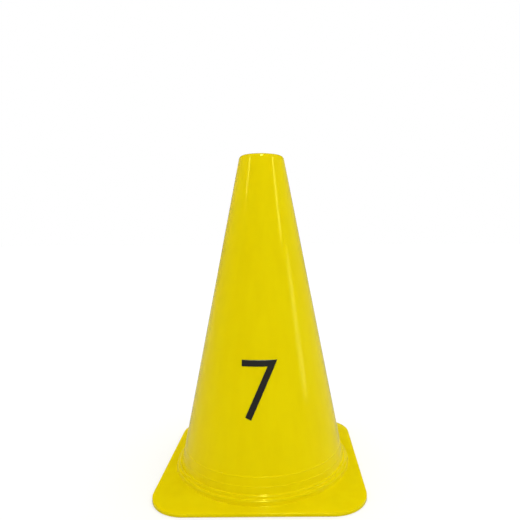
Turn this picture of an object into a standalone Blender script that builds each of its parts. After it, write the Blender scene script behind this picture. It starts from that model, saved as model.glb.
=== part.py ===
"""Training cone: one injection-moulded shell of yellow polyethylene.

A conical wall stands on a square base with rounded corners. The wall steps out to the base in four
low rings, the upper two by a hair and the lower two by nearly two millimetres each, and its top
turns in to a rounded lip round an open mouth. The shell has one wall thickness and is open
underneath, so that cones stack into each other.

The section through the shell is drawn once for each direction round the axis, with the same number
of points each time, and the sections are joined into one closed skin.

Metres, +Z up. The origin is on the floor, in the middle of the base.
"""

import math

import bmesh
import bpy

for leftover in list(bpy.data.objects):
    bpy.data.objects.remove(leftover, do_unlink=True)

# The conical wall and its mouth
HEIGHT = 0.3000                  # floor to the top of the lip
CONE_RADIUS_AT_FLOOR = 0.0798    # outside of the wall, carried on down to the floor
CONE_RADIUS_AT_TOP = 0.0212      # outside of the wall, carried on up to the top
WALL = 0.0015                    # thickness of the shell everywhere
LIP_TURN_IN = 0.0045             # how far the lip reaches in over the hollow
LIP_ROUND = 0.0042               # outer rounding of the lip
MOUTH_EDGE_ROUND = 0.0004        # both edges of the mouth

# The foot: four rings, counted from the top, each set out by its tread from what is above it
RING_1_HEIGHT = 0.0235
RING_2_HEIGHT = 0.0162
RING_3_HEIGHT = 0.0101
RING_4_HEIGHT = 0.0075
RING_1_TREAD = 0.0003
RING_2_TREAD = 0.0002
RING_3_TREAD = 0.0018
RING_4_TREAD = 0.0019
RING_4_EDGE_ROUND = 0.0014       # the outer edge of the lowest ring
RING_EDGE_ROUND = 0.0005         # the outer edges of the others
RING_ROOT_ROUND = 0.0002         # the hollow corner at the back of each tread
FOOT_ROOT_ROUND = 0.0004         # the hollow corner where the lowest ring meets the base

# The square base
BASE_MARGIN = 0.0080             # narrowest strip of base sheet, in front of the foot
BASE_CORNER_RADIUS = 0.0315
BASE_EDGE_ROUND = 0.0002         # upper edge of the base
RIM_DROP = 0.0015                # how far the rim reaches down below the sheet
RIM_ROOT_ROUND = 0.0006          # the corner between the rim and the underside of the sheet
HIP_RISE = 0.0016                # how much the sheet climbs from a corner to the foot
HIP_SOFTNESS = 0.0120            # how gently two sides of the sheet meet in a hip

# How finely the curves are cut up
SIDE_SEGMENTS = 12               # along each straight side of the base
CORNER_SEGMENTS = 8              # round each corner of the base; even, so that one station is a hip
LIP_SEGMENTS = 5
INNER_LIP_SEGMENTS = 3
EDGE_SEGMENTS = 3
RING_SEGMENTS = 3
ROOT_SEGMENTS = 2
WALL_BANDS = 3                   # rows of faces up the plain part of the wall

ROUNDING_LIMIT_SHARE = 0.98      # the part of a straight stretch that its two roundings may use
SMOOTH_ANGLE = math.radians(40)  # edges sharper than this stay sharp when shaded


def cone_radius(height):
    """Outer radius of the conical wall at a height."""
    taper = (CONE_RADIUS_AT_FLOOR - CONE_RADIUS_AT_TOP) / HEIGHT
    return CONE_RADIUS_AT_FLOOR - taper * height


# Sizes that follow from the ones above
RINGS = (
    (RING_4_HEIGHT, RING_4_TREAD, RING_4_EDGE_ROUND),
    (RING_3_HEIGHT, RING_3_TREAD, RING_EDGE_ROUND),
    (RING_2_HEIGHT, RING_2_TREAD, RING_EDGE_ROUND),
    (RING_1_HEIGHT, RING_1_TREAD, RING_EDGE_ROUND),
)
EDGE_HEIGHT = RIM_DROP + WALL
FOOT_SET_OUT = RING_1_TREAD + RING_2_TREAD + RING_3_TREAD + RING_4_TREAD
FOOT_RADIUS = cone_radius(EDGE_HEIGHT) + FOOT_SET_OUT
HALF_BASE = FOOT_RADIUS + FOOT_ROOT_ROUND + BASE_MARGIN
MOUTH_RADIUS = CONE_RADIUS_AT_TOP - LIP_TURN_IN


def stations():
    """The directions round the axis in which sections are drawn.

    Each is (angle, reach, stretch): reach is the distance from the axis to the outline of the base,
    and stretch says how much longer a distance square to that outline is along the section.
    """
    corner_centre = HALF_BASE - BASE_CORNER_RADIUS
    corner_start = math.atan2(corner_centre, HALF_BASE)
    quarter = []
    for step in range(SIDE_SEGMENTS):
        angle = corner_start * (2 * step / SIDE_SEGMENTS - 1)
        quarter.append((angle, HALF_BASE / math.cos(angle), 1 / math.cos(angle)))
    for step in range(CORNER_SEGMENTS):
        facing = math.pi / 2 * step / CORNER_SEGMENTS
        x = corner_centre + BASE_CORNER_RADIUS * math.cos(facing)
        y = corner_centre + BASE_CORNER_RADIUS * math.sin(facing)
        angle = math.atan2(y, x)
        quarter.append((angle, math.hypot(x, y), 1 / math.cos(facing - angle)))
    return [(angle + math.pi / 2 * turn, reach, stretch)
            for turn in range(4) for angle, reach, stretch in quarter]


def join_height(angle):
    """Height at which the base sheet meets the foot.

    Each side of the sheet slopes up from its edge, so the foot stands in it deepest along the hips,
    which run in from the corners.
    """
    x = FOOT_RADIUS * abs(math.cos(angle))
    y = FOOT_RADIUS * abs(math.sin(angle))
    soft_greatest = (x + y + math.hypot(x - y, HIP_SOFTNESS)) / 2
    hip_run = HALF_BASE - FOOT_RADIUS / math.sqrt(2)
    return EDGE_HEIGHT + HIP_RISE * (HALF_BASE - soft_greatest) / hip_run


def outer_corners(angle, reach):
    """Corners of the outer skin in one section, from the floor up: (radius, height, rounding, segments)."""
    join = join_height(angle)
    corners = [
        (reach, 0, 0, 0),
        (reach, EDGE_HEIGHT, BASE_EDGE_ROUND, EDGE_SEGMENTS),
        (cone_radius(join) + FOOT_SET_OUT, join, FOOT_ROOT_ROUND, ROOT_SEGMENTS),
    ]
    set_out = FOOT_SET_OUT
    for height, tread, edge_round in RINGS:
        corners.append((cone_radius(height) + set_out, height, edge_round, RING_SEGMENTS))
        set_out -= tread
        corners.append((cone_radius(height) + set_out, height, RING_ROOT_ROUND, RING_SEGMENTS))
    corners += wall_corners(RING_1_HEIGHT, HEIGHT, 0)
    corners.append((CONE_RADIUS_AT_TOP, HEIGHT, LIP_ROUND, LIP_SEGMENTS))
    corners.append((MOUTH_RADIUS, HEIGHT, MOUTH_EDGE_ROUND, 1))
    return corners


def wall_corners(low, high, inset):
    """Points that cut the plain wall into bands, upwards."""
    heights = [low + (high - low) * band / WALL_BANDS for band in range(1, WALL_BANDS)]
    return [(cone_radius(height) - inset, height, 0, 0) for height in heights]


def inner_corners(angle, reach, stretch):
    """Corners of the inner skin in one section, from the mouth down, one wall inside the outer skin."""
    slant = math.atan2(CONE_RADIUS_AT_FLOOR - CONE_RADIUS_AT_TOP, HEIGHT)
    inset = WALL / math.cos(slant)
    ceiling = HEIGHT - WALL
    join = join_height(angle) - WALL
    corners = [
        (MOUTH_RADIUS, ceiling, MOUTH_EDGE_ROUND, 1),
        (cone_radius(ceiling) - inset, ceiling, LIP_ROUND - WALL, INNER_LIP_SEGMENTS),
    ]
    corners += reversed(wall_corners(RING_1_HEIGHT - WALL, ceiling, inset))
    set_out = 0
    for height, tread, _ in reversed(RINGS):
        corners.append((cone_radius(height - WALL) - inset + set_out, height - WALL, 0, 0))
        set_out += tread
        corners.append((cone_radius(height - WALL) - inset + set_out, height - WALL, 0, 0))
    rim = reach - WALL * stretch
    corners += [
        (cone_radius(join) - inset + set_out, join, FOOT_ROOT_ROUND + WALL, ROOT_SEGMENTS),
        (rim, RIM_DROP, RIM_ROOT_ROUND, 1),
        (rim, 0, 0, 0),
    ]
    return corners


def rounded(corners):
    """A closed outline whose corners are rounded, as (radius, height) points.

    A rounding that would overlap its neighbour is made smaller, in proportion.
    """
    count = len(corners)
    halves = []
    wanted = []
    for index, (radius, height, rounding, _) in enumerate(corners):
        before, after = corners[index - 1], corners[(index + 1) % count]
        to_before = math.atan2(before[1] - height, before[0] - radius)
        to_after = math.atan2(after[1] - height, after[0] - radius)
        opening = abs((to_after - to_before + math.pi) % (2 * math.pi) - math.pi)
        halves.append(opening / 2)
        wanted.append(rounding / math.tan(opening / 2) if rounding > 0 else 0)
    points = []
    for index, (radius, height, rounding, segments) in enumerate(corners):
        if wanted[index] <= 0:
            points.append((radius, height))
            continue
        before, after = corners[index - 1], corners[(index + 1) % count]
        tangent = wanted[index]
        for other, other_wanted in ((before, wanted[index - 1]), (after, wanted[(index + 1) % count])):
            length = math.hypot(other[0] - radius, other[1] - height)
            use = length * ROUNDING_LIMIT_SHARE / (wanted[index] + other_wanted)
            tangent = min(tangent, wanted[index] * use)
        points += arc(before, (radius, height), after, tangent, halves[index], segments)
    return points


def arc(before, corner, after, tangent, half_opening, segments):
    """Points of the circular arc that starts and ends at a distance, tangent, from a corner."""
    ends = []
    for other in (before, after):
        length = math.hypot(other[0] - corner[0], other[1] - corner[1])
        ends.append([corner[axis] + (other[axis] - corner[axis]) * tangent / length for axis in (0, 1)])
    middle = [(ends[0][axis] + ends[1][axis]) / 2 for axis in (0, 1)]
    reach = 1 / math.cos(half_opening) ** 2
    centre = [corner[axis] + (middle[axis] - corner[axis]) * reach for axis in (0, 1)]
    start = math.atan2(ends[0][1] - centre[1], ends[0][0] - centre[0])
    end = math.atan2(ends[1][1] - centre[1], ends[1][0] - centre[0])
    sweep = (end - start + math.pi) % (2 * math.pi) - math.pi
    radius = math.hypot(ends[0][0] - centre[0], ends[0][1] - centre[1])
    angles = [start + sweep * step / segments for step in range(segments + 1)]
    return [(centre[0] + radius * math.cos(angle), centre[1] + radius * math.sin(angle))
            for angle in angles]


def loft_sections():
    """The whole shell as one closed skin."""
    skin = bmesh.new()
    columns = []
    for angle, reach, stretch in stations():
        section = rounded(outer_corners(angle, reach) + inner_corners(angle, reach, stretch))
        columns.append([skin.verts.new((radius * math.cos(angle), radius * math.sin(angle), height))
                        for radius, height in section])
    rows = len(columns[0])
    for column, here in enumerate(columns):
        beyond = columns[(column + 1) % len(columns)]
        for row in range(rows):
            above = (row + 1) % rows
            skin.faces.new((here[row], beyond[row], beyond[above], here[above]))
    return skin


def plastic():
    """Glossy yellow polyethylene."""
    material = bpy.data.materials.new("yellow_polyethylene")
    material.use_nodes = True
    shader = material.node_tree.nodes["Principled BSDF"]
    shader.inputs["Base Color"].default_value = (0.74, 0.59, 0.01, 1)
    shader.inputs["Roughness"].default_value = 0.28
    shader.inputs["Metallic"].default_value = 0
    return material


def build():
    """Make the cone body and put it in the scene."""
    skin = loft_sections()
    mesh = bpy.data.meshes.new("cone_body")
    skin.to_mesh(mesh)
    skin.free()
    mesh.materials.append(plastic())
    mesh.shade_smooth()
    mesh.set_sharp_from_angle(angle=SMOOTH_ANGLE)
    body = bpy.data.objects.new("cone_body", mesh)
    bpy.context.scene.collection.objects.link(body)
    print(f"cone_body: {len(mesh.vertices)} points, base {2 * HALF_BASE:.4f} m wide, "
          f"mouth {2 * MOUTH_RADIUS:.4f} m across")


build()
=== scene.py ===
# %% [markdown]
# # A training cone in yellow polyethylene
#
# The object is a small marker cone for field sports: a hollow conical wall on a square base, all of it
# one thin shell that leaves a single mould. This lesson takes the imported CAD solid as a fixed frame,
# lofts the shell again with far more points than a solid can carry, and gives it the gloss, the faint
# flow marks and the light wear of moulded plastic. Then it sets up a white table, soft studio light
# and the camera.

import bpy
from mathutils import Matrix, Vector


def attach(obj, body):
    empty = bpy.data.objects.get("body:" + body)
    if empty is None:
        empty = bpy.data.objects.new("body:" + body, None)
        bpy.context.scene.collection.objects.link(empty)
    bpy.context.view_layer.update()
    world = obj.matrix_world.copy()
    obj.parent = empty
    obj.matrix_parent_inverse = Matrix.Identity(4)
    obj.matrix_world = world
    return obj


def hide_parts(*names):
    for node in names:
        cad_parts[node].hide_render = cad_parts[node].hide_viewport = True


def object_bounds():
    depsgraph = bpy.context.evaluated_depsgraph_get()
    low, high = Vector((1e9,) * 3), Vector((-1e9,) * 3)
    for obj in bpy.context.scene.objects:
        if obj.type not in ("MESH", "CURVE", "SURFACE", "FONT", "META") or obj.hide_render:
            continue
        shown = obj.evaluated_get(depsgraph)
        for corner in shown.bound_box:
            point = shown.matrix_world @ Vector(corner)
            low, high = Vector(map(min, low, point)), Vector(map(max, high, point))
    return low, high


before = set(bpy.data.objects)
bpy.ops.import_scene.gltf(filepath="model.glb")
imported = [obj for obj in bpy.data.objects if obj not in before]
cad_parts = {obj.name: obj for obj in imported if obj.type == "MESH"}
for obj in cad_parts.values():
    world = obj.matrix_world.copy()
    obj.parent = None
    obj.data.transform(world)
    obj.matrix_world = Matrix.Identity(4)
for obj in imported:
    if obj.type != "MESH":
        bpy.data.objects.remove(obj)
cad_low, cad_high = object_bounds()
print("CAD box:", [round(value, 4) for value in (*cad_low, *cad_high)])

# %% [markdown]
# ## Sizes
#
# The height and the width of the base come from the frame, so the dressed cone can't drift from the
# solid. The smaller sizes are those of the moulding: its wall, its lip, the four rings of the foot and
# the rim of the base. They are in metres, like everything else here.

# %% Sizes of the moulding
import math
from collections import namedtuple

import bmesh
import bpy
from mathutils import Matrix, Vector

HEIGHT = cad_high[2]
HALF_BASE = cad_high[0]
CONE_RADIUS_AT_FLOOR = 0.0798    # outside of the conical wall, carried on down to the floor
CONE_RADIUS_AT_TOP = 0.0212      # and carried on up to the top
WALL = 0.0015
LIP_TURN_IN = 0.0045
LIP_ROUND = 0.0042
MOUTH_EDGE_ROUND = 0.0004
RING_HEIGHTS = (0.0075, 0.0101, 0.0162, 0.0235)    # the four rings of the foot, from the lowest
RING_TREADS = (0.0019, 0.0018, 0.0002, 0.0003)     # how far each is set out from what is above it
RING_EDGE_ROUNDS = (0.0014, 0.0009, 0.0005, 0.0005)
RING_ROOT_ROUND = 0.0007         # softer than in the solid, as is the edge of the second ring
FOOT_ROOT_ROUND = 0.0004
BASE_CORNER_RADIUS = 0.0315
BASE_EDGE_ROUND = 0.0002
RIM_DROP = 0.0015
RIM_ROOT_ROUND = 0.0006
RIM_FOOT_ROUND = 0.0003          # the lower edges of the rim, too fine for the solid
HIP_RISE = 0.0016
HIP_SOFTNESS = 0.0120

TAPER = (CONE_RADIUS_AT_FLOOR - CONE_RADIUS_AT_TOP) / HEIGHT
EDGE_HEIGHT = RIM_DROP + WALL
FOOT_SET_OUT = sum(RING_TREADS)
MOUTH_RADIUS = CONE_RADIUS_AT_TOP - LIP_TURN_IN


def wall_radius(height, set_out=0.0):
    """Outer radius of the conical wall, or of a ring set out from it."""
    return CONE_RADIUS_AT_FLOOR - TAPER * height + set_out


FOOT_RADIUS = wall_radius(EDGE_HEIGHT, FOOT_SET_OUT)
print(f"height {HEIGHT:.4f} m, base {2 * HALF_BASE:.4f} m, mouth {2 * MOUTH_RADIUS:.4f} m across")

# %% [markdown]
# ## Node trees as expressions
#
# A long chain of Math nodes is hard to read when it is made one node at a time. Here a small class
# holds one output of a node and turns +, -, * and / into Math nodes, so that a formula in the script
# reads as it would on paper. The same class serves shader trees and Geometry Nodes trees, because both
# know the same Math node. Any other node comes from `Tree.node`.

# %% Wrapping sockets
class Flow:
    """One output socket of a node tree, with arithmetic."""

    def __init__(self, tree, socket):
        self.tree = tree
        self.socket = socket

    def math(self, operation, *others):
        """A Math node whose first input is this flow."""
        return self.tree.math(operation, self, *others)

    def part(self, axis):
        """The X, Y or Z of a vector."""
        return self.tree.node("ShaderNodeSeparateXYZ", {}, {"Vector": self}, axis)

    def __add__(self, other):
        return self.math("ADD", other)

    def __sub__(self, other):
        return self.math("SUBTRACT", other)

    def __rsub__(self, other):
        return self.tree.math("SUBTRACT", other, self)

    def __mul__(self, other):
        return self.math("MULTIPLY", other)

    def __truediv__(self, other):
        return self.math("DIVIDE", other)

    def __rtruediv__(self, other):
        return self.tree.math("DIVIDE", other, self)

    __radd__ = __add__
    __rmul__ = __mul__

    def step(self, low, high):
        """0 at low, 1 at high and a soft step between them."""
        return self.tree.node("ShaderNodeMapRange", {"interpolation_type": "SMOOTHSTEP"},
                              {"Value": self, "From Min": low, "From Max": high})


class Tree:
    """A node tree that is built by writing expressions."""

    def __init__(self, node_tree):
        self.node_tree = node_tree

    def node(self, kind, settings=None, inputs=None, output=0):
        """Add a node: its settings first, then the values or links of its sockets."""
        made = self.node_tree.nodes.new(kind)
        for name, value in (settings or {}).items():
            setattr(made, name, value)
        for key, value in (inputs or {}).items():
            if isinstance(value, Flow):
                self.node_tree.links.new(value.socket, made.inputs[key])
            else:
                made.inputs[key].default_value = value
        return Flow(self, made.outputs[output]) if made.outputs else None

    def math(self, operation, *values):
        """A Math node on flows and plain numbers."""
        return self.node("ShaderNodeMath", {"operation": operation}, dict(enumerate(values)))


print("flows and trees are ready")

# %% [markdown]
# ## The section of the wall
#
# A mould-maker draws this shell as one section: out along the rim, over the base, up the four rings, up
# the wall and round the lip, then back down the inside, one wall thickness away. It could be modelled by
# pulling and bevelling loops, but then every change of a size would mean doing it again. So the section
# is a list of corners with their roundings, drawn where the base is narrowest, in front.
#
# A corner says how many rows the stretch after it is cut into, and how many segments its rounding takes.
# It also carries three weights. `outline` is 1 where it keeps to the square outline of the base, `join` is
# 1 where it keeps to the line on which the base sheet meets the foot, and `edge` tells the finish what a
# hand would feel there: 1 on an outer edge, half of it on the broad lip, -1 in a hollow corner. The finish
# uses it for wear and for a painted shade on the outer edges.

# %% A corner and its rounding
FILLET_SEGMENTS = 7
LIP_SEGMENTS = 18

Corner = namedtuple("Corner", "radius height rounding rows segments outline join edge",
                    defaults=(1, FILLET_SEGMENTS, 0, 0, 0))


def spot(corner):
    """Where a corner is in the section."""
    return Vector((corner.radius, corner.height))


def tangent(before, corner, after):
    """How far from the corner its full rounding would start."""
    opening = (spot(before) - spot(corner)).angle(spot(after) - spot(corner))
    return corner.rounding / math.tan(opening / 2)


def fillet(before, corner, after, rounding):
    """Points on the arc that rounds a corner, with the corner's weights."""
    to_before = (spot(before) - spot(corner)).normalized()
    to_after = (spot(after) - spot(corner)).normalized()
    half = to_before.angle(to_after) / 2
    centre = spot(corner) + (to_before + to_after).normalized() * rounding / math.sin(half)
    start = spot(corner) + to_before * rounding / math.tan(half) - centre
    sweep = math.copysign(math.pi - 2 * half, -start.cross(to_before))
    arc = []
    for segment in range(corner.segments + 1):
        point = centre + Matrix.Rotation(sweep * segment / corner.segments, 2) @ start
        arc.append(Vector((point.x, point.y, corner.outline, corner.join, corner.edge)))
    return arc


print(f"a rounding takes {FILLET_SEGMENTS} segments, the lip {LIP_SEGMENTS}")

# %% The closed section
ROUNDING_LIMIT_SHARE = 0.98      # the part of a straight stretch that its two roundings may use
WEIGHT_SLOTS = {"outline": 2, "join": 3, "edge": 4}    # a point has its radius and height before these


def section_points(corners):
    """Round every corner, cut the long stretches into rows and close the section."""
    count = len(corners)
    arcs = []
    for index, corner in enumerate(corners):
        before, after = corners[index - 1], corners[(index + 1) % count]
        own = tangent(before, corner, after)
        neighbours = ((before, tangent(corners[index - 2], before, corner)),
                      (after, tangent(corner, after, corners[(index + 2) % count])))
        share = 1
        for neighbour, other in neighbours:
            stretch = (spot(neighbour) - spot(corner)).length
            share = min(share, ROUNDING_LIMIT_SHARE * stretch / (own + other))
        arcs.append(fillet(before, corner, after, corner.rounding * share))
    points = []
    for corner, arc, next_arc in zip(corners, arcs, arcs[1:] + arcs[:1]):
        points += arc
        for row in range(1, corner.rows):
            between = arc[-1].lerp(next_arc[0], row / corner.rows)
            between[WEIGHT_SLOTS["edge"]] = 0
            points.append(between)
    return points + points[:1]


print(f"two roundings may use {ROUNDING_LIMIT_SHARE:.0%} of the stretch between them")

# %% [markdown]
# The base sheet isn't flat: each side of it climbs a little from the rim to the foot, and two sides meet
# in a soft hip that runs out to the corner. `join_height` gives the height of the sheet where it meets
# the foot. A plain maximum of x and y would give a sharp hip, so the maximum is softened.

# %% Where the sheet meets the foot
HIP_RUN = HALF_BASE - FOOT_RADIUS / math.sqrt(2)    # from the side of the base to the foot, at a hip


def join_height(angle):
    """Height at which the base sheet meets the foot, in one direction."""
    x = FOOT_RADIUS * abs(math.cos(angle))
    y = FOOT_RADIUS * abs(math.sin(angle))
    soft_greatest = (x + y + math.hypot(x - y, HIP_SOFTNESS)) / 2
    return EDGE_HEIGHT + HIP_RISE * (HALF_BASE - soft_greatest) / HIP_RUN


FRONT_JOIN = join_height(0)
print(f"the sheet meets the foot {FRONT_JOIN:.4f} m up in front, {join_height(math.pi / 4):.4f} m at a hip")

# %% The corners of the moulding
WALL_ROWS = 48
SHEET_ROWS = 8
LIP_EDGE_WEIGHT = 0.5


def outer_corners():
    """The outer skin from the floor to the mouth."""
    corners = [
        Corner(HALF_BASE, 0, RIM_FOOT_ROUND, outline=1, edge=1),
        Corner(HALF_BASE, EDGE_HEIGHT, BASE_EDGE_ROUND, SHEET_ROWS, outline=1, edge=1),
        Corner(wall_radius(FRONT_JOIN, FOOT_SET_OUT), FRONT_JOIN, FOOT_ROOT_ROUND, join=1, edge=-1),
    ]
    set_out = FOOT_SET_OUT
    for height, tread, edge_round in zip(RING_HEIGHTS, RING_TREADS, RING_EDGE_ROUNDS):
        corners.append(Corner(wall_radius(height, set_out), height, edge_round, edge=1))
        set_out -= tread
        corners.append(Corner(wall_radius(height, set_out), height, RING_ROOT_ROUND, edge=-1))
    corners[-1] = corners[-1]._replace(rows=WALL_ROWS)
    corners.append(Corner(CONE_RADIUS_AT_TOP, HEIGHT, LIP_ROUND, 1, LIP_SEGMENTS, edge=LIP_EDGE_WEIGHT))
    corners.append(Corner(MOUTH_RADIUS, HEIGHT, MOUTH_EDGE_ROUND))
    return corners


def inner_corners():
    """The inner skin from the mouth to the floor, one wall thickness inside the outer one."""
    slant = math.atan(TAPER)
    inset = WALL / math.cos(slant)
    ceiling = HEIGHT - WALL
    corners = [
        Corner(MOUTH_RADIUS, ceiling, MOUTH_EDGE_ROUND),
        Corner(wall_radius(ceiling, -inset), ceiling, LIP_ROUND - WALL, WALL_ROWS),
    ]
    set_out = 0
    for height, tread in zip(reversed(RING_HEIGHTS), reversed(RING_TREADS)):
        corners.append(Corner(wall_radius(height - WALL, set_out - inset), height - WALL, RING_ROOT_ROUND))
        set_out += tread
        corners.append(Corner(wall_radius(height - WALL, set_out - inset), height - WALL, RING_ROOT_ROUND))
    join = FRONT_JOIN - WALL
    corners += [
        Corner(wall_radius(join, set_out - inset), join, FOOT_ROOT_ROUND + WALL, SHEET_ROWS, join=1),
        Corner(HALF_BASE - WALL, RIM_DROP, RIM_ROOT_ROUND, outline=1),
        Corner(HALF_BASE - WALL, 0, RIM_FOOT_ROUND, outline=1, edge=1),
    ]
    return corners


section = section_points(outer_corners() + inner_corners())
print(f"the section has {len(section)} points, from {min(point.y for point in section):.4f} "
      f"to {max(point.y for point in section):.4f} m up")

# %% [markdown]
# ## Lofting the shell with Geometry Nodes
#
# The shape follows a rule: in every direction round the axis the same section is used, only its base is
# pulled out to the square outline. That is work for Geometry Nodes. The tree lays out a grid with one
# column for each direction and one row for each point of the section, and then moves each grid point to
# its place. The outline is a straight side and then a quarter circle, four times round. Merging the first
# and last columns and rows closes the skin.

# %% Named inputs of the loft
LOFT_SIZES = {
    "Half base": HALF_BASE,
    "Corner radius": BASE_CORNER_RADIUS,
    "Foot radius": FOOT_RADIUS,
    "Hip rise": HIP_RISE,
    "Hip softness": HIP_SOFTNESS,
    "Hip run": HIP_RUN,
    "Front rise": FRONT_JOIN - EDGE_HEIGHT,
    "Taper": TAPER,
}
LOFT_COUNTS = {"Side columns": 32, "Corner columns": 22, "Rows": len(section)}
MERGE_DISTANCE = 0.000002

loft_group = bpy.data.node_groups.new("shell_loft", "GeometryNodeTree")
loft_group.is_modifier = True
loft_sockets = {}
for name, kind in (("Section", "NodeSocketGeometry"),
                   *((name, "NodeSocketFloat") for name in LOFT_SIZES),
                   *((name, "NodeSocketInt") for name in LOFT_COUNTS),
                   ("Plastic", "NodeSocketMaterial")):
    loft_sockets[name] = loft_group.interface.new_socket(name, in_out="INPUT", socket_type=kind)
loft_group.interface.new_socket("Shell", in_out="OUTPUT", socket_type="NodeSocketGeometry")
print(f"the loft has {len(loft_sockets)} named inputs")

# %% The directions round the axis
loft = Tree(loft_group)
QUARTERS = 4
QUARTER_TURN = 2 * math.pi / QUARTERS


def loft_input(name):
    """One named input of the loft."""
    return loft.node("NodeGroupInput", output=name)


index = loft.node("GeometryNodeInputIndex")
rows = loft_input("Rows")
side_columns = loft_input("Side columns")
corner_columns = loft_input("Corner columns")
columns_in_quarter = side_columns + corner_columns
row = index.math("MODULO", rows)
column = (index / rows).math("FLOOR")
quarter = (column / columns_in_quarter).math("FLOOR")
step = column - quarter * columns_in_quarter

corner_radius = loft_input("Corner radius")
centre = loft_input("Half base") - corner_radius
slide = (2 * step / side_columns - 1).math("MINIMUM", 1)
facing = (step - side_columns).math("MAXIMUM", 0) / corner_columns * QUARTER_TURN
outline_x = centre + corner_radius * facing.math("COSINE")
outline_y = centre * slide + corner_radius * facing.math("SINE")
outline_angle = outline_y.math("ARCTAN2", outline_x)
reach = (outline_x * outline_x + outline_y * outline_y).math("SQRT")
slant_factor = 1 / (facing - outline_angle).math("COSINE")
angle = outline_angle + quarter * QUARTER_TURN
print("directions are set out along the outline of the base")


# %% Placing each point
def sampled(field, data_type):
    """A value of the section at this grid point's row."""
    return loft.node("GeometryNodeSampleIndex", {"data_type": data_type, "domain": "POINT"},
                     {"Geometry": loft_input("Section"), "Value": field, "Index": row})


def weight(name):
    """One of the weights stored on the section."""
    return sampled(loft.node("GeometryNodeInputNamedAttribute", {"data_type": "FLOAT"}, {"Name": name}),
                   "FLOAT")


section_spot = sampled(loft.node("GeometryNodeInputPosition"), "FLOAT_VECTOR")
drawn_radius = section_spot.part("X")
drawn_height = section_spot.part("Z")

foot_x = loft_input("Foot radius") * angle.math("COSINE").math("ABSOLUTE")
foot_y = loft_input("Foot radius") * angle.math("SINE").math("ABSOLUTE")
apart = foot_x - foot_y
softness = loft_input("Hip softness")
soft_greatest = (foot_x + foot_y + (apart * apart + softness * softness).math("SQRT")) / 2
climb = loft_input("Hip rise") * (loft_input("Half base") - soft_greatest) / loft_input("Hip run")
lift = weight("join") * (climb - loft_input("Front rise"))

# The outline's reach takes the place of the half base. What lies inside the outline is measured square to
# it, so it is stretched where a direction crosses the outline at a slant.
half_base = loft_input("Half base")
pulled_out = (reach - half_base) - (half_base - drawn_radius) * (slant_factor - 1)
radius = drawn_radius + weight("outline") * pulled_out - lift * loft_input("Taper")
placed = loft.node("ShaderNodeCombineXYZ", {}, {
    "X": radius * angle.math("COSINE"), "Y": radius * angle.math("SINE"), "Z": drawn_height + lift})
print("every grid point has its place")

# %% From grid to closed skin
grid = loft.node("GeometryNodeMeshGrid", {}, {
    "Size X": 1, "Size Y": 1, "Vertices X": QUARTERS * columns_in_quarter + 1, "Vertices Y": rows})
marked = loft.node("GeometryNodeStoreNamedAttribute", {"data_type": "FLOAT", "domain": "POINT"},
                   {"Geometry": grid, "Name": "edge", "Value": weight("edge")})
moved = loft.node("GeometryNodeSetPosition", {}, {"Geometry": marked, "Position": placed})
closed = loft.node("GeometryNodeMergeByDistance", {}, {"Geometry": moved, "Distance": MERGE_DISTANCE})
smooth = loft.node("GeometryNodeSetShadeSmooth", {}, {"Geometry": closed, "Shade Smooth": True})
realized = loft.node("GeometryNodeRealizeInstances", {}, {"Geometry": smooth})
finished = loft.node("GeometryNodeSetMaterial", {}, {
    "Geometry": realized, "Material": loft_input("Plastic")})
loft.node("NodeGroupOutput", {}, {"Shell": finished})
print(f"the loft tree has {len(loft_group.nodes)} nodes")

# %% [markdown]
# ## The plastic
#
# Pigmented polyethylene is nearly a plain colour, and a plain colour is what makes a render look like
# one. What the real surface has on top is small: faint streaks where the melt ran up the mould, soft
# clouds in the gloss, a fine grain, and paler rubbed edges where stacked cones touch. All of it is made
# from Object coordinates, so that it stays on the plastic from every side, and from the `edge` weight
# that the loft stores on the mesh.
#
# The plastic also passes some light. It wanders a few millimetres under the skin before it comes out
# again, which is why the low steps of the foot hardly show. Subsurface scattering does this. Its random
# walk would lose much of the light through so thin a wall, so the older method is used, which spreads
# the light along the skin. That leaves the outer edges a little too bright, so a painted shade is laid on
# them: their colour is mixed towards a deeper yellow. The gloss is weak, and tinted by the pigment that
# lies close under it.

# %% Colours of the plastic
YELLOW = (0.728, 0.588, 0.0010, 1)
DEEP_YELLOW = (0.703, 0.556, 0.0005, 1)
# painted shade: the colour that outer edges are darkened towards, because the subsurface method leaves them
# too bright
EDGE_PAINTED_SHADE_YELLOW = (0.661, 0.532, 0.0004, 1)
RUBBED_YELLOW = (0.790, 0.670, 0.040, 1)
RUBBED_SHARE = 0.12
FLOW_SHARE = 0.6                 # how much of the change in colour follows the flow, the rest the clouds
GLOSS_LEVEL = 0.20
GLOSS_TINT = (1.0, 0.98, 0.08, 1)
GLOSS_ROUGHNESS = 0.10
CLOUDED_ROUGHNESS = 0.05         # what the clouds add to it
RUBBED_ROUGHNESS = 0.08          # and what wear adds
GLOW_SHARE = 0.9                 # how much of the colour comes from light that wanders in the plastic
GLOW_DEPTH = 0.0030              # how far red light wanders
GLOW_COLOURS = (1.0, 0.8, 0.15)  # how far each colour wanders, against red
print(f"light wanders up to {1000 * GLOW_DEPTH:.0f} mm in the plastic")

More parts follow.
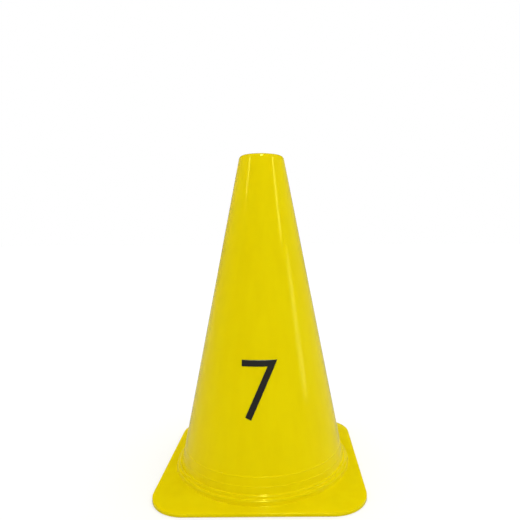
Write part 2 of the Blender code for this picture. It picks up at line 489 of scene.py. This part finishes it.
# %% Patterns in the plastic
FLOW_SCALE = 90.0                # the scales count the patches of a pattern in a metre, roughly
CLOUD_SCALE = 22.0
SPECK_SCALE = 900.0
PEEL_SCALE = 130.0
GRAIN_SCALE = 2600.0
FLOW_STRETCH = (1, 1, 0.06)      # a small third number draws a pattern out upwards
PEEL_STRETCH = (1, 1, 0.35)
PEEL_HEIGHT = 0.000012
GRAIN_HEIGHT = 0.0000012
FLOW_LIMITS = (0.35, 0.65)       # limits say at which values a soft step starts and ends
CLOUD_LIMITS = (0.30, 0.70)
# where the painted shade on outer edges starts, and where it holds in full
EDGE_LIMITS = (0.60, 1.00)
RUBBED_EDGE_LIMITS = (0.35, 1.00)
RUBBED_CLOUD_LIMITS = (0.42, 0.62)
RUBBED_SPECK_LIMITS = (0.35, 0.60)
print(f"the grain is {1e6 * GRAIN_HEIGHT:.1f} micrometres high, the peel {1e6 * PEEL_HEIGHT:.0f}")

# %% Helpers for every material
COLOUR_A, COLOUR_B, MIXED_COLOUR = 6, 7, 2    # numbers, because a Mix node has several sockets of a name
SIMPLE_DETAIL = 1.0              # details count the finer layers that a noise adds to its first
PLAIN_DETAIL = 2.0
RICH_DETAIL = 3.0
UNSTRETCHED = (1, 1, 1)


def emptied_tree(owner):
    """The node tree of a material or a world, with nothing in it."""
    owner.use_nodes = True
    owner.node_tree.nodes.clear()
    return Tree(owner.node_tree)


def mixed(tree, factor, first, second):
    """A colour between two others."""
    return tree.node("ShaderNodeMix", {"data_type": "RGBA"},
                     {"Factor": factor, COLOUR_A: first, COLOUR_B: second}, MIXED_COLOUR)


def noise(tree, place, scale, detail=PLAIN_DETAIL, stretch=UNSTRETCHED):
    """Noise from 0 to 1 on a place that can be stretched."""
    stretched = tree.node("ShaderNodeMapping", {}, {"Vector": place, "Scale": stretch})
    return tree.node("ShaderNodeTexNoise", {}, {"Vector": stretched, "Scale": scale, "Detail": detail})


def bumped(tree, relief):
    """A normal that follows a relief given in metres."""
    return tree.node("ShaderNodeBump", {}, {"Strength": 1.0, "Distance": 1.0, "Height": relief})


print(f"a noise has {PLAIN_DETAIL:.0f} finer layers unless its call says otherwise")


# %% The moulded yellow
def moulded_yellow():
    """Glossy yellow polyethylene as it leaves the mould, a little used, with painted shade on its outer
    edges.
    """
    material = bpy.data.materials.new("moulded_yellow_polyethylene")
    tree = emptied_tree(material)
    place = tree.node("ShaderNodeTexCoord", output="Object")
    edge = tree.node("ShaderNodeAttribute", {"attribute_name": "edge"}, output="Fac")
    flow_marks = noise(tree, place, FLOW_SCALE, RICH_DETAIL, FLOW_STRETCH)
    clouds = noise(tree, place, CLOUD_SCALE, RICH_DETAIL)
    specks = noise(tree, place, SPECK_SCALE)
    worn = clouds.step(*RUBBED_CLOUD_LIMITS) * specks.step(*RUBBED_SPECK_LIMITS)
    rubbed = edge.step(*RUBBED_EDGE_LIMITS) * worn

    depth = FLOW_SHARE * flow_marks.step(*FLOW_LIMITS) + (1 - FLOW_SHARE) * clouds.step(*CLOUD_LIMITS)
    body = mixed(tree, depth, DEEP_YELLOW, YELLOW)
    # painted shade: outer edges are darkened towards a deeper yellow, to take back the brightness that the
    # subsurface method gives them
    edge_shaded = mixed(tree, edge.step(*EDGE_LIMITS), body, EDGE_PAINTED_SHADE_YELLOW)
    colour = mixed(tree, RUBBED_SHARE * rubbed, edge_shaded, RUBBED_YELLOW)
    roughness = GLOSS_ROUGHNESS + CLOUDED_ROUGHNESS * clouds + RUBBED_ROUGHNESS * rubbed

    peel = noise(tree, place, PEEL_SCALE, SIMPLE_DETAIL, PEEL_STRETCH)
    grain = noise(tree, place, GRAIN_SCALE)
    normal = bumped(tree, PEEL_HEIGHT * peel + GRAIN_HEIGHT * grain)
    shader = tree.node("ShaderNodeBsdfPrincipled", {"subsurface_method": "BURLEY"}, {
        "Base Color": colour, "Roughness": roughness, "Normal": normal,
        "Specular Tint": GLOSS_TINT, "Specular IOR Level": GLOSS_LEVEL,
        "Subsurface Weight": GLOW_SHARE, "Subsurface Scale": GLOW_DEPTH,
        "Subsurface Radius": GLOW_COLOURS})
    tree.node("ShaderNodeOutputMaterial", {}, {"Surface": shader})
    return material


plastic = moulded_yellow()
print(f"{plastic.name}: {len(plastic.node_tree.nodes)} nodes")

# %% [markdown]
# Now the loft can run. The section becomes a mesh of loose points that carries the weights, the loft
# turns it into the shell, and a Weighted Normal modifier keeps the large faces evenly shaded right up to
# the small roundings. The result is baked to a plain mesh.

# %% Lofting and baking
def scene_object(name, mesh):
    """An object at the origin, linked to the scene."""
    made = bpy.data.objects.new(name, mesh)
    bpy.context.scene.collection.objects.link(made)
    return made


section_mesh = bpy.data.meshes.new("shell_section")
section_mesh.from_pydata([(point[0], 0, point[1]) for point in section], [], [])
for name, slot in WEIGHT_SLOTS.items():
    layer = section_mesh.attributes.new(name, "FLOAT", "POINT")
    layer.data.foreach_set("value", [point[slot] for point in section])

shell = scene_object("cone_shell", section_mesh)
lofting = shell.modifiers.new("loft", "NODES")
lofting.node_group = loft_group
for name, value in (LOFT_SIZES | LOFT_COUNTS | {"Plastic": plastic}).items():
    lofting[loft_sockets[name].identifier] = value
shading = shell.modifiers.new("even_shading", "WEIGHTED_NORMAL")
shading.keep_sharp = False


def bake(piece):
    """Turn what the modifiers make into the piece's own mesh."""
    graph = bpy.context.evaluated_depsgraph_get()
    mesh = bpy.data.meshes.new_from_object(piece.evaluated_get(graph), depsgraph=graph)
    piece.modifiers.clear()
    piece.data = mesh
    mesh.name = piece.name


bake(shell)
print(f"cone_shell: {len(shell.data.vertices)} points, {len(shell.data.polygons)} faces")

# %% Riding on the frame
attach(shell, "root")
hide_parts("cone_body")
print("the shell stands for the CAD node cone_body")

# %% [markdown]
# ## The number
#
# Cones for drills often carry a plain printed number, so that a coach can call them out. On the real
# cone it is a film of ink that a soft pad presses on to the wall. A picture or a shader mask could stand
# for it, but then it would have no edge of its own. Here the figure starts as flat text, is cut into small
# squares so that it can bend, and is wrapped round the wall as a film with a real thickness.

# %% The flat figure
NUMBER = "7"
NUMBER_HEIGHT = 0.050
NUMBER_BOLDNESS = -0.010         # below 0 its strokes are thinner than the font's
NUMBER_MIDDLE = 0.092            # height of its middle above the floor
INK_SQUARES = 0.0020
INK_PROUD = 0.00006              # how far the ink stands out from the wall
INK_SUNK = 0.00003               # and how far its back lies inside it


def flat_figure():
    """The figure as a flat mesh around the origin, at its real size."""
    letters = bpy.data.curves.new("figure", "FONT")
    letters.body = NUMBER
    letters.offset = NUMBER_BOLDNESS
    text = scene_object("figure", letters)
    graph = bpy.context.evaluated_depsgraph_get()
    figure = bmesh.new()
    figure.from_mesh(bpy.data.meshes.new_from_object(text.evaluated_get(graph), depsgraph=graph))
    bpy.data.objects.remove(text)
    low = Vector([min(point.co[axis] for point in figure.verts) for axis in range(3)])
    high = Vector([max(point.co[axis] for point in figure.verts) for axis in range(3)])
    scale = NUMBER_HEIGHT / (high.y - low.y)
    for point in figure.verts:
        point.co = (point.co - (low + high) / 2) * scale
    return figure


def cut_in_squares(figure):
    """Cut a flat mesh along a grid, so that it can bend."""
    for axis in (Vector((1, 0, 0)), Vector((0, 1, 0))):
        reach = max(abs(point.co.dot(axis)) for point in figure.verts)
        lines = math.floor(reach / INK_SQUARES)
        for line in range(-lines, lines + 1):
            everything = figure.verts[:] + figure.edges[:] + figure.faces[:]
            cut_at = axis * line * INK_SQUARES
            bmesh.ops.bisect_plane(figure, geom=everything, plane_co=cut_at, plane_no=axis)


print(f"figure {NUMBER}: {1000 * NUMBER_HEIGHT:.0f} mm high, in squares of {1000 * INK_SQUARES:.0f} mm")


# %% Wrapping it round the wall
def wrapped(flat_point, set_out):
    """Where a point of the flat figure comes to lie on the front of the wall."""
    height = NUMBER_MIDDLE + flat_point.y * math.cos(math.atan(TAPER))
    angle = flat_point.x / wall_radius(height) - math.pi / 2
    radius = wall_radius(height, set_out)
    return Vector((radius * math.cos(angle), radius * math.sin(angle), height))


def printed_number():
    """The figure as a film of ink on the wall."""
    figure = flat_figure()
    cut_in_squares(figure)
    bmesh.ops.remove_doubles(figure, verts=figure.verts[:], dist=MERGE_DISTANCE)
    bmesh.ops.triangulate(figure, faces=figure.faces[:])
    back = figure.verts[:]
    lifted = bmesh.ops.extrude_face_region(figure, geom=figure.faces[:], use_keep_orig=True)
    front = [part for part in lifted["geom"] if isinstance(part, bmesh.types.BMVert)]
    for points, set_out in ((back, -INK_SUNK), (front, INK_PROUD)):
        for point in points:
            point.co = wrapped(point.co, set_out)
    bmesh.ops.recalc_face_normals(figure, faces=figure.faces[:])
    mesh = bpy.data.meshes.new("printed_number")
    figure.to_mesh(mesh)
    figure.free()
    return scene_object("printed_number", mesh)


number = printed_number()
print(f"printed_number: {len(number.data.polygons)} faces")

# %% [markdown]
# Printing ink is matt beside the gloss of the plastic, and a pad never lays it on quite evenly: it is
# thinner in specks, where the yellow begins to show.

# %% The ink
INK_BLACK = (0.014, 0.013, 0.010, 1)
THIN_INK = (0.060, 0.050, 0.012, 1)
INK_GLOSS_LEVEL = 0.2
INK_ROUGHNESS = 0.36
UNEVEN_ROUGHNESS = 0.10          # what patches and thin specks each add to it
INK_SPECK_SCALE = 1400.0
INK_PATCH_SCALE = 70.0
THIN_SPECK_LIMITS = (0.56, 0.70)
THIN_PATCH_LIMITS = (0.40, 0.70)
INK_RELIEF = 0.000004


def printing_ink():
    """Black pad-printing ink with thin specks."""
    material = bpy.data.materials.new("printing_ink")
    tree = emptied_tree(material)
    place = tree.node("ShaderNodeTexCoord", output="Object")
    specks = noise(tree, place, INK_SPECK_SCALE, RICH_DETAIL)
    patches = noise(tree, place, INK_PATCH_SCALE)
    thin = specks.step(*THIN_SPECK_LIMITS) * patches.step(*THIN_PATCH_LIMITS)
    colour = mixed(tree, thin, INK_BLACK, THIN_INK)
    roughness = INK_ROUGHNESS + UNEVEN_ROUGHNESS * (patches + thin)
    shader = tree.node("ShaderNodeBsdfPrincipled", {}, {
        "Base Color": colour, "Roughness": roughness, "Normal": bumped(tree, INK_RELIEF * specks),
        "Specular IOR Level": INK_GLOSS_LEVEL})
    tree.node("ShaderNodeOutputMaterial", {}, {"Surface": shader})
    return material


number.data.materials.append(printing_ink())
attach(number, "root")
print("the number rides on the wall")

# %% [markdown]
# ## Table and light
#
# The photograph was taken in a light tent: white all round, hardly any shadow, thin pale lines along the
# wall where lamps stand left and right. A table that is simply very bright would clip, so the table is a
# mix: part of what the camera sees is plain diffuse white, which keeps the soft shadow under the cone,
# and part shines by itself, just enough that the open table reads as white.
#
# A glossy wall with white all round would mirror so much of it that the yellow turned pale, and on the
# photographed cone it stays deep. The Light Path node tells which rays come by way of the gloss, and to
# those the table and the tent are dimmer.

# %% The white table
TABLE_HALF = 6.0
TABLE_WHITE = 0.80
TABLE_SHADOW_SHARE = 0.5         # how much of the seen table answers to light and shadow
TABLE_SHINE = 0.90               # brightness of the other part
MIRRORED_SHARE = 0.42            # how bright the surroundings are to the gloss
WHITE = (1, 1, 1, 1)


def seen_rays(tree):
    """Two masks: rays from the camera, and rays that come by way of a mirror or glass."""
    def kind(name):
        return tree.node("ShaderNodeLightPath", output=name)
    return kind("Is Camera Ray"), kind("Is Glossy Ray").math("MAXIMUM", kind("Is Transmission Ray"))


def blended(tree, factor, first, second):
    """A shader between two others."""
    return tree.node("ShaderNodeMixShader", {}, {0: factor, 1: first, 2: second})


def white_table():
    """Pale table top that reads as white and keeps the shadow."""
    material = bpy.data.materials.new("white_table")
    tree = emptied_tree(material)
    camera, mirror = seen_rays(tree)
    unseen = TABLE_WHITE * (1 - (1 - MIRRORED_SHARE) * mirror)
    plain = tree.node("ShaderNodeBsdfDiffuse", {}, {"Color": unseen})
    shadowed = tree.node("ShaderNodeBsdfDiffuse", {}, {"Color": WHITE})
    shining = tree.node("ShaderNodeEmission", {}, {"Color": WHITE, "Strength": TABLE_SHINE})
    seen = blended(tree, TABLE_SHADOW_SHARE, shining, shadowed)
    top = blended(tree, camera, plain, seen)
    tree.node("ShaderNodeOutputMaterial", {}, {"Surface": top})
    return material


table_mesh = bpy.data.meshes.new("table")
table_corners = [(x * TABLE_HALF, y * TABLE_HALF, 0) for x, y in ((-1, -1), (1, -1), (1, 1), (-1, 1))]
table_mesh.from_pydata(table_corners, [], [(0, 1, 2, 3)])
table_mesh.materials.append(white_table())
table = scene_object("table", table_mesh)
print(f"table {2 * TABLE_HALF:.0f} m wide")

# %% [markdown]
# The tent could be modelled in cloth with lamps behind it, but a world background gives the same soft
# light with less noise. Its brightness is a formula on the direction: more from the top and the right,
# less from behind down at the table but more from behind high up, and a trace warmer on the left, as the
# photographed cone shows. To the camera it is plain white. To the gloss it is dimmer, and the back of it
# turns dark above the table, because the flat base would mirror it as a pale haze. Sampling the
# background as a lamp would mix up the rays that the gloss sent with the others, so that is switched
# off.

# %% The light tent
SOFT_LEVEL = 0.945
LEFT_TINT = (1.0, 0.975, 0.96, 1)
RIGHT_TINT = (0.965, 1.0, 0.98, 1)
SIDE_LEAN = 0.19                 # how much brighter the right of the tent is than its middle
TOP_LEAN = 0.42                  # how much brighter its top is
LOW_BACK_LEAN = -0.25            # what its back adds to the brightness down at the table
HIGH_BACK_LEAN = 0.25            # and high up
BACK_LIMITS = (-0.10, 0.60)      # how far back this starts, and where it holds in full
DARK_LIMITS = (0.24, 0.40)       # heights between which the back turns dark to the gloss
TINT_LIMITS = (-1.0, 1.0)        # the tint changes all the way from left to right

world = bpy.data.worlds.new("light_tent")
tent = emptied_tree(world)
direction = tent.node("ShaderNodeTexCoord", output="Generated")
to_right = direction.part("X")
to_back = direction.part("Y")
to_top = direction.part("Z").math("MAXIMUM", 0)
camera, mirror = seen_rays(tent)
soft = SOFT_LEVEL * (1 + SIDE_LEAN * to_right + TOP_LEAN * to_top)
back = to_back.step(*BACK_LIMITS)
back_lean = LOW_BACK_LEAN + (HIGH_BACK_LEAN - LOW_BACK_LEAN) * to_top
dark = back * to_top.step(*DARK_LIMITS)
dimmed = 1 - (1 - MIRRORED_SHARE * (1 - dark)) * mirror
level = camera + (1 - camera) * soft * (1 + back_lean * back) * dimmed
tint = mixed(tent, to_right.step(*TINT_LIMITS), LEFT_TINT, RIGHT_TINT)
colour = mixed(tent, camera, tint, WHITE)
backdrop = tent.node("ShaderNodeBackground", {}, {"Color": colour, "Strength": level})
tent.node("ShaderNodeOutputWorld", {}, {"Surface": backdrop})
world.cycles.sampling_method = "NONE"
bpy.context.scene.world = world
print("the tent is white to the camera, and dimmer to the gloss")

# %% [markdown]
# The pale lines on the wall and the glints on the rings are lamps that the plastic mirrors. Each is a
# small rectangle, placed by its direction as seen from the cone. The soft light already comes from the
# tent, so the lamps have `visible_diffuse` off: they show in the gloss and add nothing else.

# %% The lamps
LAMP_DISTANCE = 1.5
LAMP_AIM = Vector((0, 0, HEIGHT / 2))
LAMPS = (
    # name, degrees to the right of the camera, degrees up, width, height, brightness
    ("lamp_left", -60, 36, 0.13, 0.48, 17.0),
    ("lamp_right", 62, 30.5, 0.13, 0.53, 17.0),
    ("lamp_low_right", 76, 5.5, 0.26, 0.54, 5.0),
    ("lamp_high", 3, 66, 0.10, 0.40, 290.0),
)

for name, right, up, width, height, brightness in LAMPS:
    towards = Vector((math.sin(math.radians(right)) * math.cos(math.radians(up)),
                      -math.cos(math.radians(right)) * math.cos(math.radians(up)),
                      math.sin(math.radians(up))))
    light = bpy.data.lights.new(name, "AREA")
    light.shape = "RECTANGLE"
    light.size = width
    light.size_y = height
    light.energy = brightness * math.pi * width * height    # the power that makes it this bright
    lamp = scene_object(name, light)
    lamp.location = LAMP_AIM + towards * LAMP_DISTANCE
    lamp.rotation_euler = towards.to_track_quat("Z", "Y").to_euler()
    lamp.visible_diffuse = False
    print(f"{name}: {light.energy:.2f} W")

# %% [markdown]
# ## The camera
#
# The camera's place, tilt and lens were found by matching the outline of the cone in the photograph. The
# cone was photographed square-on to its base, from 0.46 m off its axis and about three quarters of the way
# up it, and the picture was then cropped off centre, which the lens shift repeats.

# %% Camera
CAMERA_PLACE = Vector((0.023817, -0.455792, 0.228970))
CAMERA_PAN = 0.00211             # radians to the right
CAMERA_DIP = 0.03789             # radians down
CAMERA_ROLL = -0.00476           # radians, below 0 where its right side is lower
LENS_IN_PICTURES = 0.89924       # focal length over the width of the picture
CROP_SHIFT = (-0.05285, -0.02475)
SENSOR_WIDTH = 36.0              # in millimetres
NEAREST_SEEN = 0.01
UPRIGHT = Vector((0, 0, 1))

ahead = Vector((math.sin(CAMERA_PAN), math.cos(CAMERA_PAN), 0))
level_right = Vector((math.cos(CAMERA_PAN), -math.sin(CAMERA_PAN), 0))
gaze = ahead * math.cos(CAMERA_DIP) - UPRIGHT * math.sin(CAMERA_DIP)
level_up = ahead * math.sin(CAMERA_DIP) + UPRIGHT * math.cos(CAMERA_DIP)
right = level_right * math.cos(CAMERA_ROLL) + level_up * math.sin(CAMERA_ROLL)
up = level_up * math.cos(CAMERA_ROLL) - level_right * math.sin(CAMERA_ROLL)

lens = bpy.data.cameras.new("camera")
lens.sensor_width = SENSOR_WIDTH
lens.lens = SENSOR_WIDTH * LENS_IN_PICTURES
lens.shift_x, lens.shift_y = CROP_SHIFT
lens.clip_start = NEAREST_SEEN
camera_object = scene_object("camera", lens)
turn = Matrix((right, up, -gaze)).transposed().to_4x4()
camera_object.matrix_world = Matrix.Translation(CAMERA_PLACE) @ turn
bpy.context.scene.camera = camera_object
bpy.context.scene.view_settings.view_transform = "Standard"
print(f"lens {lens.lens:.2f} mm")
